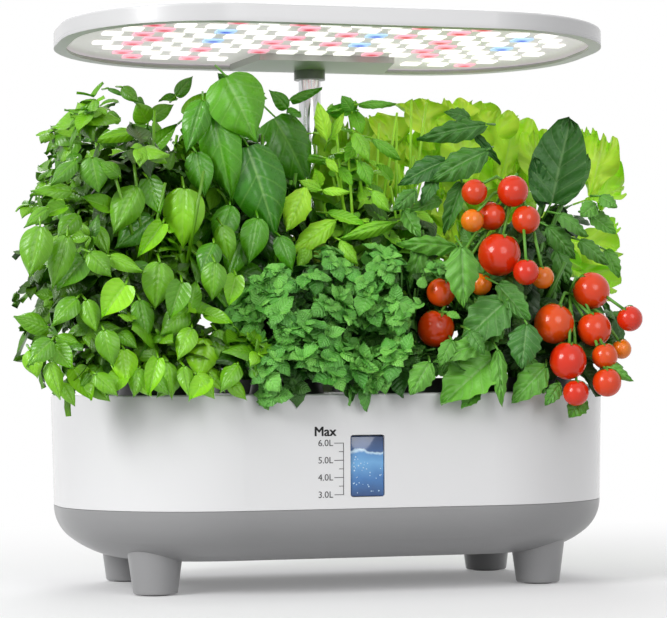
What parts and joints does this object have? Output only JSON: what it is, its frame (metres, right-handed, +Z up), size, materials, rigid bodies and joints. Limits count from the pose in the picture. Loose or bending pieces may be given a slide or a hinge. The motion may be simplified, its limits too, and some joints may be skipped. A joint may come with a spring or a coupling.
{
  "type": "countertop hydroponic garden",
  "caption": "Tabletop water planter with a domed grey base on short feet, a water window, a planted deck of herbs and tomatoes, and a flat LED grow light on a telescoping pole.",
  "frame": {"origin": "on the worktop under the middle of the planter", "axes": "+X to the right along the planter, +Y to the rear, +Z up; the water window faces -Y"},
  "size_m": [0.464, 0.3, 0.3995],
  "materials": {
    "tank_white": "gloss injection-moulded ABS",
    "base_grey": "satin moulded ABS",
    "black_plastic": "fine moulded texture",
    "foot_rubber": "moulded rubber",
    "screw_steel": "zinc-plated",
    "window_clear": "clear polished",
    "gasket_rubber": "moulded silicone",
    "pole_metal": "polished tube",
    "jack_metal": "nickel-plated barrel",
    "lamp_white": "gloss moulded shell",
    "bezel_grey": "satin moulded ring",
    "board_white": "white solder resist",
    "led_white": "lit warm-white tile",
    "led_red": "lit red tile",
    "led_blue": "lit blue tile",
    "plug_foam": "open-cell growing sponge",
    "basil_leaf": "smooth leaves",
    "balm_leaf": "wrinkled toothed leaves",
    "mint_leaf": "toothed leaves",
    "lettuce_leaf": "frilled leaves",
    "tomato_leaf": "lobed leaves",
    "tomato_fruit": "glossy ripe skin"
  },
  "bodies": {
    "base": {"tank": "tank_white", "base_shell": "base_grey", "foot_front_left": "base_grey", "foot_front_right": "base_grey", "foot_rear_left": "base_grey", "foot_rear_right": "base_grey", "foot_pads": "foot_rubber", "foot_screws": "screw_steel", "window_lens": "window_clear", "window_gasket": "gasket_rubber"},
    "deck": {"grow_deck": "tank_white", "refill_pin": "screw_steel", "grow_baskets": "black_plastic", "grow_sponges": "plug_foam", "pole_base": "tank_white", "pole_outer": "pole_metal", "pole_bush": "base_grey", "power_jack": "jack_metal", "pump_body": "black_plastic", "pump_strainer": "black_plastic", "pump_shaft": "screw_steel", "pump_spout": "black_plastic", "pump_bracket": "black_plastic", "basil_front_left": "basil_leaf", "basil_middle_left": "basil_leaf", "thai_basil": "basil_leaf", "broad_basil_front": "basil_leaf", "broad_basil_rear": "basil_leaf", "lemon_balm_left": "balm_leaf", "lemon_balm_right": "balm_leaf", "peppermint": "mint_leaf", "lettuce_left": "lettuce_leaf", "lettuce_right": "lettuce_leaf", "tomato_front": "tomato_leaf", "tomato_rear": "tomato_leaf", "tomatoes": "tomato_fruit"},
    "lid": {"refill_lid": "tank_white"},
    "lamp": {"pole_inner": "pole_metal", "lamp_housing": "lamp_white", "lamp_bezel": "bezel_grey", "led_board": "board_white", "white_leds": "led_white", "red_leds": "led_red", "blue_leds": "led_blue", "mount_cover": "bezel_grey", "lamp_collar": "bezel_grey", "lamp_driver": "black_plastic", "button_switches": "black_plastic"},
    "rotor": {"pump_rotor": "base_grey"},
    "power_key": {"power_button": "bezel_grey"},
    "mode_key": {"mode_button": "bezel_grey"}
  },
  "joints": [
    {"name": "deck_lift", "type": "slide", "parent": "base", "child": "deck", "axis": [0, 0, 1], "range_m": [0, 0.12]},
    {"name": "lamp_height", "type": "slide", "parent": "deck", "child": "lamp", "axis": [0, 0, 1], "range_m": [-0.008, 0.11]},
    {"name": "refill_lid_hinge", "type": "hinge", "parent": "deck", "child": "lid", "pos_m": [0.196, 0, 0.1398], "axis": [0, 1, 0], "range_deg": [0, 95]},
    {"name": "rotor_spin", "type": "hinge", "parent": "deck", "child": "rotor", "pos_m": [0.092, 0, 0.056], "axis": [0, 1, 0], "continuous": true},
    {"name": "power_button_press", "type": "slide", "parent": "lamp", "child": "power_key", "axis": [0, 0, -1], "range_m": [0, 0.0012], "stiffness_N_per_m": 400, "springref_m": -0.0006},
    {"name": "mode_button_press", "type": "slide", "parent": "lamp", "child": "mode_key", "axis": [0, 0, -1], "range_m": [0, 0.0012], "stiffness_N_per_m": 400, "springref_m": -0.0006}
  ]
}
